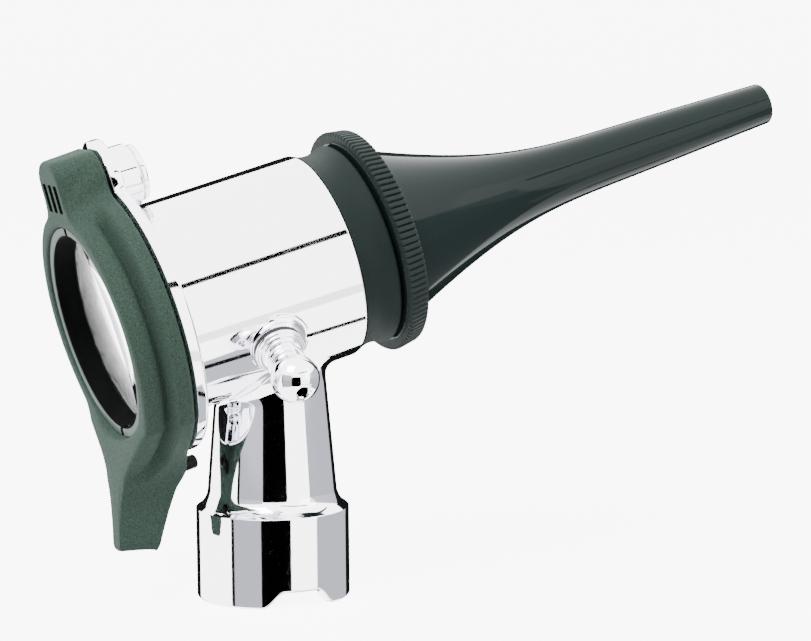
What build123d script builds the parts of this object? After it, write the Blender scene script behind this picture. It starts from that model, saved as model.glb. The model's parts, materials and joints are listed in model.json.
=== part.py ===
"""Pneumatic otoscope head with a reusable ear speculum.

Origin at the centre of the collar's mouth, where the head sits on its handle. +Z runs up the
neck, +X towards the speculum's tip, and Y is the side that the insufflator port stands on.
The barrel's axis leans back in the XZ plane: "along" is the distance along it, positive towards
the tip, and "above" is the distance at right angles to it, up.
"""
from build123d import *
import os
from math import cos, radians, sin, sqrt

# ---- Axes
BARREL_TILT = 15.0          # degrees that the barrel's axis rises towards the tip
AXIS_HEIGHT = 39.5          # where the barrel's axis crosses the neck's

# ---- Barrel and flange
BARREL_R = 12.7
BARREL_WALL = 1.4
BARREL_FRONT = 6.84
FLANGE_R = BARREL_R + 4.1
FLANGE_THICKNESS = 1.5
FLANGE_FRONT = -16.0
FLANGE_LOBE_R = 5.2
LOBE_BLEND = 2.0

# ---- Lens pivot
PIVOT_ABOVE = BARREL_R + 4.0
PIVOT_BOSS_R = 3.8
PIVOT_BOSS_LENGTH = 2.7
PIVOT_SHOULDER_R = 1.5
PIVOT_THREAD_R = 1.2
PIVOT_HEAD_R = 3.4
PIVOT_HEAD_HEIGHT = 0.7
PIVOT_WASHER_THICKNESS = 0.2
PIVOT_INSERT_R = 2.0
PIVOT_INSERT_LENGTH = 4.0

# ---- Neck and collar
COLLAR_R = 9.34
COLLAR_HEIGHT = 11.2
SOCKET_R = 8.15
SOCKET_LENGTH = 6.3
NECK_FOOT_R = 7.85
NECK_TOP_R = 6.4
NECK_TOP_HEIGHT = 28.0
NECK_BORE_R = 6.0
NECK_BORE_TOP = 23.3
NECK_BLEND = 2.4
NOTCH_DEPTH = 2.3
NOTCH_FOOT = 9.6
NOTCH_ROOF = 4.6

# ---- Bayonet ring in the socket
BAYONET_RING_R = 7.9
BAYONET_RING_WALL = 0.6
BAYONET_RING_HEIGHT = 3.2
BAYONET_LUG_REACH = 1.0
BAYONET_LUG_HEIGHT = 1.5
BAYONET_LUG_SPAN = 50.0

# ---- Lamp and its sleeve
SLEEVE_WALL = 1.35
SLEEVE_FOOT = 10.5
SLEEVE_TOP = 22.0
LAMP_BASE_FOOT = 9.9
LAMP_BASE_TOP = 17.5
LAMP_BASE_WALL = 1.0
LAMP_RIM_HEIGHT = 0.6
LAMP_PLUG_FOOT = 8.9
LAMP_PLUG_TOP = 12.0
LAMP_CONTACT_R = 1.0
LAMP_CONTACT_FOOT = 7.9
BULB_CEMENT = 0.95
BULB_WALL = 0.4
BULB_TOP = 21.7
FILAMENT_R = 0.45
FILAMENT_WIRE_R = 0.12
FILAMENT_ROOM = 1.0         # free bulb at each end of the coil
FILAMENT_HEIGHT = 18.6

# ---- Fibre light guide
BUNDLE_R = 1.3
BUNDLE_ABOVE = -7.6
BUNDLE_BEND = 4.5
FERRULE_WALL = 0.85
FERRULE_DISC = 1.0
FAN_THICKNESS = 0.8

# ---- Nose: adapter and cones
ADAPTER_FRONT = 11.5
ADAPTER_REAR_R = BARREL_R - 0.1
ADAPTER_WAIST_R = BARREL_R - 0.7
ADAPTER_FRONT_R = BARREL_R - 0.2
ADAPTER_SHANK = 5.8
ADAPTER_SHANK_WALL = 1.4
ADAPTER_WEB = 0.9
SPIGOT_R = 9.5
SPIGOT_WALL = 1.5
SPIGOT_LENGTH = 4.4
CONE_WALL = 0.8
CONE_TIP_R = 4.9
CONE_TIP = 27.0
SLEEVE_CONE_WALL = 0.6
CONE_RIM = 0.9
SEAL_R = 0.42
SEAL_SETBACK = 0.5

# ---- Speculum
SPECULUM_REAR = 12.16
RIM_WIDTH = 2.51
RIM_R = 13.98
RIM_TAPER = 0.35
RIM_TEETH = 112
RIM_TOOTH_DEPTH = 0.32
SPECULUM_ROOT_R = 11.14
SPECULUM_TIP = 71.5
SPECULUM_TIP_R = 2.68
SPECULUM_WALL = 0.9
SPECULUM_TIP_WALL = 0.58
TIP_ROUND = 0.35
FLARE_END = 53.7
FLARE_SLOPE = 0.41
FLARE_ROOT_PULL = 19.2      # handles of the curve that turns the flare into the taper
FLARE_TIP_PULL = 14.3
TAPER_SLOPE = 0.038
TWIST_LUGS = 3
TWIST_LUG_SPAN = 24.0
TWIST_LUG_REACH = 0.75
TWIST_LUG_WIDTH = 1.1
TWIST_LUG_START = 12.9
TWIST_TRAVEL = 35.0

# ---- Lens and its frame
FRAME_DEPTH = 5.6
FRAME_BASE_R = FLANGE_R - 0.1
FRAME_BASE_DEPTH = 2.5
FRAME_REAR_R = FRAME_BASE_R - 1.6
FRAME_GROOVE_R = FRAME_BASE_R - 1.2
FRAME_FACE_R = FRAME_BASE_R - 1.9
FRAME_BORE_R = 13.1
LEDGE_R = FRAME_BORE_R - 1.8
LEDGE_THICKNESS = 0.9
LUG_WIDTH = 7.8
LUG_TOP = 20.5
LUG_FOOT = 9.0
LUG_FLARE = 10.0
LENS_EDGE = 1.2
LENS_REAR_CROWN = 1.3
LENS_FRONT_CROWN = 0.8
LENS_GASKET_THICKNESS = 0.4
LENS_GASKET_WIDTH = 1.2
RETAINER_R_IN = FRAME_BORE_R - 1.1
RETAINER_RECESS = 0.35
SPANNER_SLOT = 0.8
SPANNER_DEPTH = 0.9
TAB_REAR = -20.0
TAB_FOOT = 6.9
TAB_FOOT_WIDTH = 5.3
CATCH_PIN_R = 0.85
CATCH_PIN_ABOVE = -FLANGE_R - 2.1
CATCH_PIN_PROUD = 2.3

# ---- Flange gasket
GASKET_R_IN = BARREL_R + 0.8
GASKET_R_OUT = BARREL_R + 2.4
GASKET_DEPTH = 0.7

# ---- Insufflator port
PORT_ALONG = -3.55
PORT_DROP = 30.0            # degrees below level
PORT_BOSS_R = 3.4
PORT_BOSS_FACE = BARREL_R + 0.6     # distances from the barrel's axis along the port
PORT_GASKET_THICKNESS = 0.3
PORT_FLANGE_R = 3.0
PORT_FLANGE_THICKNESS = 0.9
PORT_NECK_R = 1.9
PORT_BEAD_R = 2.35
PORT_BALL_R = 2.87
PORT_BALL_CENTRE = PORT_BOSS_FACE + 5.8
PORT_SHANK_R = 1.8
PORT_BORE_R = 0.7

# ---- Clearances
SLIP = 0.05                 # round pieces of one body, nested
RUNNING = 0.05              # a shaft in its bore
FRAME_GAP = 0.3             # lens frame to flange
SPECULUM_GAP = 0.15         # speculum on its spigot

BORE_R = BARREL_R - BARREL_WALL
SOCKET_DEPTH = SOCKET_LENGTH + BAYONET_RING_HEIGHT
FLANGE_REAR = FLANGE_FRONT - FLANGE_THICKNESS
FRAME_FRONT = FLANGE_REAR - FRAME_GAP
FRAME_REAR = FRAME_FRONT - FRAME_DEPTH
LENS_FRONT = FRAME_FRONT - LEDGE_THICKNESS - LENS_GASKET_THICKNESS
LENS_REAR = LENS_FRONT - LENS_EDGE
BOSS_FRONT = FLANGE_FRONT + PIVOT_BOSS_LENGTH
WASHER_REAR = BOSS_FRONT + RUNNING
SLEEVE_BORE_R = NECK_BORE_R - SLIP - SLEEVE_WALL
LAMP_BASE_R = SLEEVE_BORE_R - SLIP
LAMP_BASE_BORE_R = LAMP_BASE_R - LAMP_BASE_WALL
BULB_R = LAMP_BASE_BORE_R - BULB_CEMENT
FILAMENT_LENGTH = 2 * (BULB_R - BULB_WALL - FILAMENT_ROOM)
FERRULE_R = BUNDLE_R + SLIP + FERRULE_WALL
BUNDLE_FOOT = NECK_BORE_TOP - FERRULE_DISC
ADAPTER_REAR = BARREL_FRONT - ADAPTER_SHANK
ADAPTER_SHANK_R = BORE_R - SLIP
ADAPTER_BORE_R = ADAPTER_SHANK_R - ADAPTER_SHANK_WALL
SHOULDER = ADAPTER_FRONT - ADAPTER_WEB
SPIGOT_END = ADAPTER_FRONT + SPIGOT_LENGTH
SPIGOT_BORE_R = SPIGOT_R - SPIGOT_WALL
CONE_R = SPIGOT_BORE_R - SLIP
SOCKET_BORE_R = SPIGOT_R + SPECULUM_GAP
RIM_FRONT = SPECULUM_REAR + RIM_WIDTH


def at(along, above):
    """The (x, z) of a point in the middle plane, from its place on the barrel."""
    tilt = radians(BARREL_TILT)
    return (along * cos(tilt) - above * sin(tilt),
            AXIS_HEIGHT + along * sin(tilt) + above * cos(tilt))


def on_barrel(shape):
    """Move a shape made with the barrel's axis as X into its place."""
    return Pos(0, 0, AXIS_HEIGHT) * Rot(0, -BARREL_TILT, 0) * shape


def turned(*outline):
    """Solid of revolution about X from (along, radius) corners."""
    return revolve(Plane.XZ * make_face(Polyline(*outline, close=True)), Axis.X)


def upright(*outline):
    """Solid of revolution about Z from (radius, height) corners."""
    return revolve(Plane.XZ * make_face(Polyline(*outline, close=True)), Axis.Z)


def disc(start, end, radius, above=0.0):
    """Cylinder along X from start to end."""
    return extrude(Plane.YZ.offset(start) * Pos(0, above) * Circle(radius), amount=end - start)


def tube(start, end, radius, bore, above=0.0):
    """Ring along X from start to end."""
    return disc(start, end, radius, above) - disc(start, end, bore, above)


def upright_tube(foot, top, radius, bore):
    """Ring about Z from foot to top."""
    return upright((bore, foot), (radius, foot), (radius, top), (bore, top))


def sector(start, end, bore, radius, middle, span):
    """Part of a ring along X, span degrees wide about the angle middle."""
    face = Plane.XZ * make_face(Polyline((start, bore), (end, bore), (end, radius),
                                         (start, radius), close=True))
    return Rot(middle - span / 2, 0, 0) * revolve(face, Axis.X, revolution_arc=span)


# ---- Head

def port_plane(distance):
    """Plane across the port, at a distance from the barrel's axis."""
    x, z = at(PORT_ALONG, 0)
    out = Vector(0, -cos(radians(PORT_DROP)), -sin(radians(PORT_DROP)))
    return Plane(origin=Vector(x, 0, z) + out * distance, x_dir=(1, 0, 0), z_dir=out)


def neck():
    """Solid collar and neck, before the bores."""
    outline = FilletPolyline(
        (0, 0), (COLLAR_R, 0), (COLLAR_R, COLLAR_HEIGHT - 0.1), (NECK_FOOT_R, COLLAR_HEIGHT),
        (NECK_TOP_R, NECK_TOP_HEIGHT), (NECK_TOP_R, AXIS_HEIGHT - 2), (0, AXIS_HEIGHT - 2),
        radius=[0, 0.25, 0.45, 1.5, 0, 0, 0], close=True)
    return revolve(Plane.XZ * make_face(outline), Axis.Z)


def flange():
    """Round rear flange with the lobe that carries the lens pivot."""
    plan = Circle(FLANGE_R) + Pos(0, PIVOT_ABOVE) * Circle(FLANGE_LOBE_R)
    plate = extrude(Plane.YZ.offset(FLANGE_REAR) * plan, amount=FLANGE_THICKNESS)
    waist = plate.edges().filter_by(Axis.X).filter_by(lambda e: 1 < e.center().Z < PIVOT_ABOVE)
    plate = fillet(waist, LOBE_BLEND)
    front = plate.faces().sort_by(Axis.X)[-1].outer_wire().edges()
    plate = fillet(front, 0.4)
    boss = disc(FLANGE_FRONT, BOSS_FRONT, PIVOT_BOSS_R, PIVOT_ABOVE)
    boss = fillet(boss.faces().sort_by(Axis.X)[-1].edges(), 0.35)
    return plate + boss


def notch():
    """Entry for the handle's bayonet, cut through both sides of the collar's mouth."""
    profile = FilletPolyline((-NOTCH_FOOT / 2 - 0.8, -0.6), (-NOTCH_FOOT / 2, 0.1),
                             (-NOTCH_ROOF / 2, NOTCH_DEPTH), (NOTCH_ROOF / 2, NOTCH_DEPTH),
                             (NOTCH_FOOT / 2, 0.1), (NOTCH_FOOT / 2 + 0.8, -0.6),
                             radius=[0, 1.0, 1.2, 0.9, 0.8, 0], close=True)
    return extrude(Plane.XZ * make_face(profile), amount=2 * COLLAR_R, both=True)


def head_body():
    """Chrome-plated brass barrel, flange, neck and collar, bored for what they hold."""
    barrel = turned((FLANGE_FRONT, 0), (FLANGE_FRONT, BARREL_R), (BARREL_FRONT - 0.3, BARREL_R),
                    (BARREL_FRONT, BARREL_R - 0.3), (BARREL_FRONT, 0))
    barrel = on_barrel(barrel)
    stem = neck()
    body = barrel + stem
    body = fillet(new_edges(barrel, stem, combined=body), NECK_BLEND)
    body += on_barrel(flange())
    body += extrude(port_plane(BORE_R - 1) * Circle(PORT_BOSS_R),
                    amount=PORT_BOSS_FACE - BORE_R + 1)
    body -= on_barrel(disc(FLANGE_REAR, BARREL_FRONT, BORE_R))
    body -= on_barrel(tube(FLANGE_REAR, FLANGE_REAR + GASKET_DEPTH, GASKET_R_OUT + SLIP,
                           GASKET_R_IN - SLIP))
    body -= on_barrel(disc(FLANGE_REAR, BOSS_FRONT, PIVOT_SHOULDER_R + RUNNING, PIVOT_ABOVE))
    body -= extrude(port_plane(BORE_R - 2) * Circle(PORT_SHANK_R + SLIP), amount=5)
    seat_r = BAYONET_RING_R + SLIP
    body -= upright((0, 0), (SOCKET_R, 0), (SOCKET_R, SOCKET_LENGTH), (seat_r, SOCKET_LENGTH),
                    (seat_r, SOCKET_DEPTH), (NECK_BORE_R, SOCKET_DEPTH),
                    (NECK_BORE_R, NECK_BORE_TOP), (FERRULE_R + SLIP, NECK_BORE_TOP),
                    (FERRULE_R + SLIP, AXIS_HEIGHT), (0, AXIS_HEIGHT))
    return body - notch()


def bayonet_ring():
    """Steel ring pressed into the socket, with two lugs for the handle's bayonet."""
    foot = SOCKET_LENGTH
    bore = BAYONET_RING_R - BAYONET_RING_WALL
    ring = upright_tube(foot, SOCKET_DEPTH, BAYONET_RING_R, bore)
    face = Plane.XZ * make_face(Polyline(
        (bore - BAYONET_LUG_REACH, foot), (bore + SLIP, foot),
        (bore + SLIP, foot + BAYONET_LUG_HEIGHT),
        (bore - BAYONET_LUG_REACH, foot + BAYONET_LUG_HEIGHT), close=True))
    lug = Rot(0, 0, -BAYONET_LUG_SPAN / 2) * revolve(face, Axis.Z,
                                                     revolution_arc=BAYONET_LUG_SPAN)
    return ring + lug + Rot(0, 0, 180) * lug


# ---- Insufflator port

def port_gasket():
    """Thin fibre washer between the barrel's boss and the port."""
    plane = port_plane(PORT_BOSS_FACE)
    ring = Circle(PORT_FLANGE_R) - Circle(PORT_SHANK_R + SLIP)
    return extrude(plane * ring, amount=PORT_GASKET_THICKNESS)


def port_nozzle():
    """Turned nipple: threaded shank, flange, bead and the ball that the tube grips."""
    seat = PORT_BOSS_FACE + PORT_GASKET_THICKNESS
    top = seat + PORT_FLANGE_THICKNESS
    profile = Polyline((0, BORE_R), (PORT_SHANK_R, BORE_R), (PORT_SHANK_R, seat),
                       (PORT_FLANGE_R, seat), (PORT_FLANGE_R, top - 0.25),
                       (PORT_FLANGE_R - 0.25, top), (PORT_BEAD_R, top),
                       (PORT_BEAD_R, top + 0.35), (PORT_NECK_R, top + 0.5),
                       (PORT_NECK_R, top + 1.3), (PORT_BEAD_R, top + 1.45),
                       (PORT_BEAD_R, top + 1.95), (PORT_NECK_R, top + 2.1),
                       (PORT_NECK_R, PORT_BALL_CENTRE), (0, PORT_BALL_CENTRE), close=True)
    stem = revolve(Plane.XZ * make_face(profile), Axis.Z)
    ball = Pos(0, 0, PORT_BALL_CENTRE) * Sphere(PORT_BALL_R)
    tip = PORT_BALL_CENTRE + sqrt(PORT_BALL_R ** 2 - 1.2 ** 2)
    end = Pos(0, 0, tip + 1) * Cylinder(PORT_BALL_R, 2)
    bore = Pos(0, 0, PORT_BALL_CENTRE) * Cylinder(PORT_BORE_R, 30)
    return port_plane(0) * (stem + ball - end - bore)


# ---- Lens pivot and gasket

def pivot_screw():
    """Shoulder screw: low round head, shoulder in the boss and thread in the frame's insert."""
    head_rear = WASHER_REAR + PIVOT_WASHER_THICKNESS
    head = disc(head_rear, head_rear + PIVOT_HEAD_HEIGHT, PIVOT_HEAD_R, PIVOT_ABOVE)
    head = fillet(head.faces().sort_by(Axis.X)[-1].edges(), 0.3)
    shoulder = disc(FRAME_FRONT, head_rear, PIVOT_SHOULDER_R, PIVOT_ABOVE)
    thread = disc(FRAME_FRONT - PIVOT_INSERT_LENGTH + 0.4, FRAME_FRONT, PIVOT_THREAD_R,
                  PIVOT_ABOVE)
    front = head_rear + PIVOT_HEAD_HEIGHT
    slot = Pos(front, 0, PIVOT_ABOVE) * Box(0.7, 2 * PIVOT_HEAD_R, 0.6)
    return on_barrel(head + shoulder + thread - slot)


def pivot_washer():
    """Spring washer under the screw's head, which gives the frame its drag."""
    return on_barrel(tube(WASHER_REAR, WASHER_REAR + PIVOT_WASHER_THICKNESS,
                          PIVOT_HEAD_R - 0.1, PIVOT_SHOULDER_R + SLIP, PIVOT_ABOVE))


def pivot_insert():
    """Brass thread insert in the frame's lug."""
    return on_barrel(tube(FRAME_FRONT - PIVOT_INSERT_LENGTH, FRAME_FRONT,
                          PIVOT_INSERT_R - SLIP, PIVOT_THREAD_R + SLIP, PIVOT_ABOVE))


def flange_gasket():
    """Rubber ring in the flange's rear groove, which closes the chamber for the air bulb."""
    return on_barrel(tube(FLANGE_REAR - FRAME_GAP / 3, FLANGE_REAR + GASKET_DEPTH,
                          GASKET_R_OUT, GASKET_R_IN))


# ---- Lens frame

def frame_ring():
    """Turned ring: a base tier, a groove, and a rear tier that bulges a little."""
    groove = FRAME_FRONT - FRAME_BASE_DEPTH - 0.3
    with BuildLine() as outline:
        Polyline((FRAME_REAR, LEDGE_R), (FRAME_FRONT, LEDGE_R), (FRAME_FRONT, FRAME_BASE_R - 0.3),
                 (FRAME_FRONT - 0.3, FRAME_BASE_R))
        Spline((FRAME_FRONT - 0.3, FRAME_BASE_R), (FRAME_FRONT - 1.6, FRAME_BASE_R - 0.15),
               (groove, FRAME_GROOVE_R - 0.35), (groove - 0.9, FRAME_REAR_R + 0.05),
               (FRAME_REAR + 0.7, FRAME_REAR_R - 0.02), (FRAME_REAR, FRAME_FACE_R - 0.4))
        Line((FRAME_REAR, FRAME_FACE_R - 0.4), (FRAME_REAR, LEDGE_R))
    return revolve(Plane.XZ * make_face(outline.line), Axis.X)


def frame_lug():
    """Top lug on the pivot, flared towards the flange, with its rounded base."""
    height = LUG_TOP - LUG_FOOT
    plan = Pos(0, (LUG_TOP + LUG_FOOT) / 2) * RectangleRounded(LUG_WIDTH, height, 2.0)
    lug = extrude(Plane.YZ.offset(FRAME_REAR) * plan, amount=FRAME_DEPTH, taper=-LUG_FLARE)
    lug = fillet(lug.faces().sort_by(Axis.X)[0].edges(), 0.7)
    return lug


def frame_tab():
    """Thumb tab: bends back from the ring's foot until it hangs straight down."""
    top = at(FRAME_FRONT, -FRAME_BORE_R)
    side = FilletPolyline((TAB_REAR + 0.35, top[1] + 0.4), (TAB_REAR, TAB_FOOT),
                          (TAB_REAR + TAB_FOOT_WIDTH, TAB_FOOT), (-13.3, 14.2),
                          at(FRAME_FRONT, -FRAME_BASE_R), top,
                          radius=[0, 1.1, 1.1, 12.0, 3.0, 0], close=True)
    body = extrude(Plane.XZ * make_face(side), amount=FRAME_BASE_R, both=True)
    with BuildLine() as plan:
        right = Spline((11.0, top[1] + 1), (7.6, 19.8), (5.0, 16.4), (3.4, 12.4), (2.7, 8.6),
                       (2.3, TAB_FOOT - 0.2))
        mirror(right, about=Plane.YZ)
        Line((11.0, top[1] + 1), (-11.0, top[1] + 1))
        Line((2.3, TAB_FOOT - 0.2), (-2.3, TAB_FOOT - 0.2))
    reach = extrude(Plane.YZ.offset(-30) * make_face(plan.line), amount=25)
    tab = body & reach
    rear = tab.edges().filter_by(lambda e: e.center().X < TAB_REAR + 0.6
                                 and abs(e.center().Y) > 2 and e.center().Z > TAB_FOOT + 1)
    return fillet(rear, 0.8)


def lens_frame():
    """Moulded frame: ring, pivot lug and thumb tab, bored for the lens and the insert."""
    body = on_barrel(frame_ring() + frame_lug()) + frame_tab()
    body -= on_barrel(disc(FRAME_REAR - 5, FRAME_FRONT - LEDGE_THICKNESS, FRAME_BORE_R))
    body -= on_barrel(disc(FRAME_FRONT - LEDGE_THICKNESS, FRAME_FRONT + 1, LEDGE_R))
    body -= on_barrel(disc(FRAME_FRONT - PIVOT_INSERT_LENGTH, FRAME_FRONT, PIVOT_INSERT_R,
                           PIVOT_ABOVE))
    body -= on_barrel(disc(FRAME_FRONT - 2.6, FRAME_FRONT + 1, CATCH_PIN_R + SLIP,
                           CATCH_PIN_ABOVE))
    marks = [Pos(FRAME_REAR, 0, above) * Box(0.5, 3.2, 0.55) for above in (15.2, 16.5, 17.8)]
    return body - on_barrel(Part() + marks)


def dome_point(edge, crown, land, radius, side):
    """(along, radius) on a ball that stands crown above the lens's flat land."""
    ball = (land ** 2 + crown ** 2) / (2 * crown)
    return edge + side * (crown - ball + sqrt(ball ** 2 - radius ** 2)), radius


def lens():
    """Biconvex magnifying lens with a flat land round its edge."""
    radius = FRAME_BORE_R - 4 * SLIP
    land = min(RETAINER_R_IN, FRAME_BORE_R - LENS_GASKET_WIDTH) - SLIP
    rear = [dome_point(LENS_REAR, LENS_REAR_CROWN, land, land * k / 2, -1) for k in (2, 1, 0)]
    front = [dome_point(LENS_FRONT, LENS_FRONT_CROWN, land, land * k / 2, 1) for k in (0, 1, 2)]
    with BuildLine() as outline:
        ThreePointArc(*rear)
        Line(rear[2], front[0])
        ThreePointArc(*front)
        Polyline(front[2], (LENS_FRONT, radius), (LENS_REAR, radius), rear[0])
    return on_barrel(revolve(Plane.XZ * make_face(outline.line), Axis.X))


def lens_gasket():
    """Flat seal between the lens and the frame's ledge."""
    return on_barrel(tube(LENS_FRONT, FRAME_FRONT - LEDGE_THICKNESS, FRAME_BORE_R - SLIP,
                          FRAME_BORE_R - LENS_GASKET_WIDTH))


def lens_retainer():
    """Black threaded ring behind the lens, with two slots for a spanner."""
    rear = FRAME_REAR + RETAINER_RECESS
    ring = tube(rear, LENS_REAR, FRAME_BORE_R - SLIP, RETAINER_R_IN)
    slots = Pos(rear, 0, 0) * Box(2 * SPANNER_DEPTH, SPANNER_SLOT, 2 * FRAME_BORE_R)
    return on_barrel(ring - slots)


def catch_pin():
    """Round-ended steel pin in the tab, just below the flange's rim."""
    rear = FRAME_FRONT - 2.6
    front = FRAME_FRONT - 0.35 + CATCH_PIN_PROUD
    pin = disc(rear, front, CATCH_PIN_R, CATCH_PIN_ABOVE)
    return on_barrel(fillet(pin.faces().sort_by(Axis.X)[-1].edges(), CATCH_PIN_R - 0.1))


# ---- Nose

def cone_radius(along, offset=0.0):
    """Outside radius of the light guide's cone, less an offset."""
    slope = (CONE_R - CONE_TIP_R) / (CONE_TIP - SPIGOT_END)
    return min(CONE_R, CONE_TIP_R + slope * (CONE_TIP - along)) - offset


def cone_shell(start, outer, inner):
    """Ring that follows the cone, between two depths below its outside."""
    stops = (start, SPIGOT_END, CONE_TIP)
    outside = [(stop, cone_radius(stop, outer)) for stop in stops]
    inside = [(stop, cone_radius(stop, inner)) for stop in reversed(stops)]
    return turned(*outside, *inside)


def nose_adapter():
    """Matt plastic nose: a shank in the barrel, a waisted ring and a spigot with three lugs."""
    middle = (BARREL_FRONT + ADAPTER_FRONT) / 2
    with BuildLine() as outline:
        Polyline((ADAPTER_REAR, ADAPTER_BORE_R), (ADAPTER_REAR, ADAPTER_SHANK_R),
                 (BARREL_FRONT, ADAPTER_SHANK_R), (BARREL_FRONT, ADAPTER_REAR_R))
        ThreePointArc((BARREL_FRONT, ADAPTER_REAR_R), (middle, ADAPTER_WAIST_R),
                      (ADAPTER_FRONT - 0.3, ADAPTER_FRONT_R))
        Polyline((ADAPTER_FRONT - 0.3, ADAPTER_FRONT_R), (ADAPTER_FRONT, ADAPTER_FRONT_R - 0.3),
                 (ADAPTER_FRONT, SPIGOT_R), (SPIGOT_END - 0.3, SPIGOT_R),
                 (SPIGOT_END, SPIGOT_R - 0.3), (SPIGOT_END, SPIGOT_BORE_R),
                 (SHOULDER, SPIGOT_BORE_R), (SHOULDER, ADAPTER_BORE_R),
                 (ADAPTER_REAR, ADAPTER_BORE_R))
    body = revolve(Plane.XZ * make_face(outline.line), Axis.X)
    for turn in range(TWIST_LUGS):
        body += sector(TWIST_LUG_START, TWIST_LUG_START + TWIST_LUG_WIDTH, SPIGOT_R - 0.2,
                       SPIGOT_R + TWIST_LUG_REACH, turn * 360 / TWIST_LUGS, TWIST_LUG_SPAN)
    groove = TWIST_LUG_START + TWIST_LUG_WIDTH + SEAL_SETBACK
    body -= tube(groove, groove + 2 * SEAL_R, SPIGOT_R + 1, SPIGOT_R + SLIP - 2 * SEAL_R)
    return on_barrel(body)


def speculum_seal():
    """Rubber ring in the spigot's groove, which seals the speculum."""
    groove = TWIST_LUG_START + TWIST_LUG_WIDTH + SEAL_SETBACK
    return on_barrel(Pos(groove + SEAL_R, 0, 0) * Rot(0, 90, 0)
                     * Torus(SPIGOT_R + SLIP - SEAL_R, SEAL_R - 0.01))


def outer_cone():
    """Black outer cone of the light guide, seated in the spigot."""
    return on_barrel(cone_shell(SHOULDER, 0, CONE_WALL))


def fiber_fan():
    """Glass fibres spread into a ring between the two cones."""
    return on_barrel(cone_shell(SHOULDER, CONE_WALL + SLIP, CONE_WALL + FAN_THICKNESS - SLIP))


def viewing_cone():
    """Black inner cone, with the rear rim that seats it in the adapter."""
    depth = CONE_WALL + FAN_THICKNESS
    cone = cone_shell(SHOULDER, depth, depth + SLEEVE_CONE_WALL)
    rim = tube(SHOULDER - CONE_RIM, SHOULDER, ADAPTER_BORE_R - SLIP,
               CONE_R - depth - SLEEVE_CONE_WALL)
    hole = disc(SHOULDER - CONE_RIM, SHOULDER, BUNDLE_R + SLIP, BUNDLE_ABOVE)
    return on_barrel(cone + rim - hole)


# ---- Lamp and light guide in the neck

def fiber_bundle():
    """Bundle of glass fibres from the lamp, up the neck and along the barrel to the cones."""
    bend = at(-BUNDLE_ABOVE * -sin(radians(BARREL_TILT)) / cos(radians(BARREL_TILT)),
              BUNDLE_ABOVE)
    end = at(SHOULDER, BUNDLE_ABOVE)
    path = FilletPolyline((0, 0, BUNDLE_FOOT), (bend[0], 0, bend[1]), (end[0], 0, end[1]),
                          radius=BUNDLE_BEND)
    return sweep(Plane.XY.offset(BUNDLE_FOOT) * Circle(BUNDLE_R), path=path)


def bundle_ferrule():
    """Brass ferrule that holds the bundle's polished end over the lamp."""
    floor = at(0, -BARREL_R)[1]
    return upright((BUNDLE_R + SLIP, BUNDLE_FOOT), (NECK_BORE_R - SLIP, BUNDLE_FOOT),
                   (NECK_BORE_R - SLIP, NECK_BORE_TOP), (FERRULE_R, NECK_BORE_TOP),
                   (FERRULE_R, floor), (BUNDLE_R + SLIP, floor))


def lamp_sleeve():
    """Brass sleeve in the neck that grips the lamp and carries its current."""
    return upright_tube(SLEEVE_FOOT, SLEEVE_TOP, NECK_BORE_R - SLIP, SLEEVE_BORE_R)


def lamp_base():
    """Metal base of the lamp, with the rim that stops it against the sleeve."""
    rim = NECK_BORE_R - 4 * SLIP
    return upright((LAMP_BASE_BORE_R, LAMP_BASE_FOOT), (rim, LAMP_BASE_FOOT),
                   (rim, LAMP_BASE_FOOT + LAMP_RIM_HEIGHT),
                   (LAMP_BASE_R, LAMP_BASE_FOOT + LAMP_RIM_HEIGHT),
                   (LAMP_BASE_R, LAMP_BASE_TOP), (LAMP_BASE_BORE_R, LAMP_BASE_TOP))


def lamp_insulator():
    """Ceramic plug in the lamp's foot."""
    return upright_tube(LAMP_PLUG_FOOT, LAMP_PLUG_TOP, LAMP_BASE_BORE_R - SLIP,
                        LAMP_CONTACT_R + SLIP)


def lamp_contact():
    """Centre contact that the handle's plunger presses on."""
    return upright((0, LAMP_CONTACT_FOOT), (LAMP_CONTACT_R - 0.3, LAMP_CONTACT_FOOT),
                   (LAMP_CONTACT_R, LAMP_CONTACT_FOOT + 0.3), (LAMP_CONTACT_R, LAMP_PLUG_TOP),
                   (0, LAMP_PLUG_TOP))


def bulb_solid(radius, foot, top):
    """Round-topped glass shape."""
    return (upright((0, foot), (radius, foot), (radius, top - radius), (0, top - radius))
            + Pos(0, 0, top - radius) * Sphere(radius))


def lamp_bulb():
    """Halogen envelope: a thin glass shell that stands on the ceramic plug."""
    return (bulb_solid(BULB_R, LAMP_PLUG_TOP, BULB_TOP)
            - bulb_solid(BULB_R - BULB_WALL, LAMP_PLUG_TOP + 1, BULB_TOP - BULB_WALL))


def lamp_cement():
    """Cement ring between the glass and the base."""
    return upright_tube(LAMP_PLUG_TOP, LAMP_BASE_TOP - 0.3, LAMP_BASE_BORE_R - SLIP,
                        BULB_R + SLIP)


def lamp_filament():
    """Tungsten coil across the bulb on its two lead wires."""
    turns = 6
    helix = Helix(pitch=FILAMENT_LENGTH / turns, height=FILAMENT_LENGTH, radius=FILAMENT_R)
    start = helix @ 0
    coil = sweep(Plane(origin=start, z_dir=helix % 0) * Circle(FILAMENT_WIRE_R), path=helix)
    coil = Pos(-FILAMENT_LENGTH / 2, 0, FILAMENT_HEIGHT) * Rot(0, 90, 0) * coil
    foot = LAMP_PLUG_TOP + 1
    leads = [Pos(side * (FILAMENT_LENGTH / 2 + 0.35), 0, (foot + FILAMENT_HEIGHT) / 2)
             * Cylinder(FILAMENT_WIRE_R * 1.4, FILAMENT_HEIGHT - foot) for side in (-1, 1)]
    return Compound(children=[*coil.solids(), *[lead.solid() for lead in leads]])


# ---- Speculum

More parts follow.
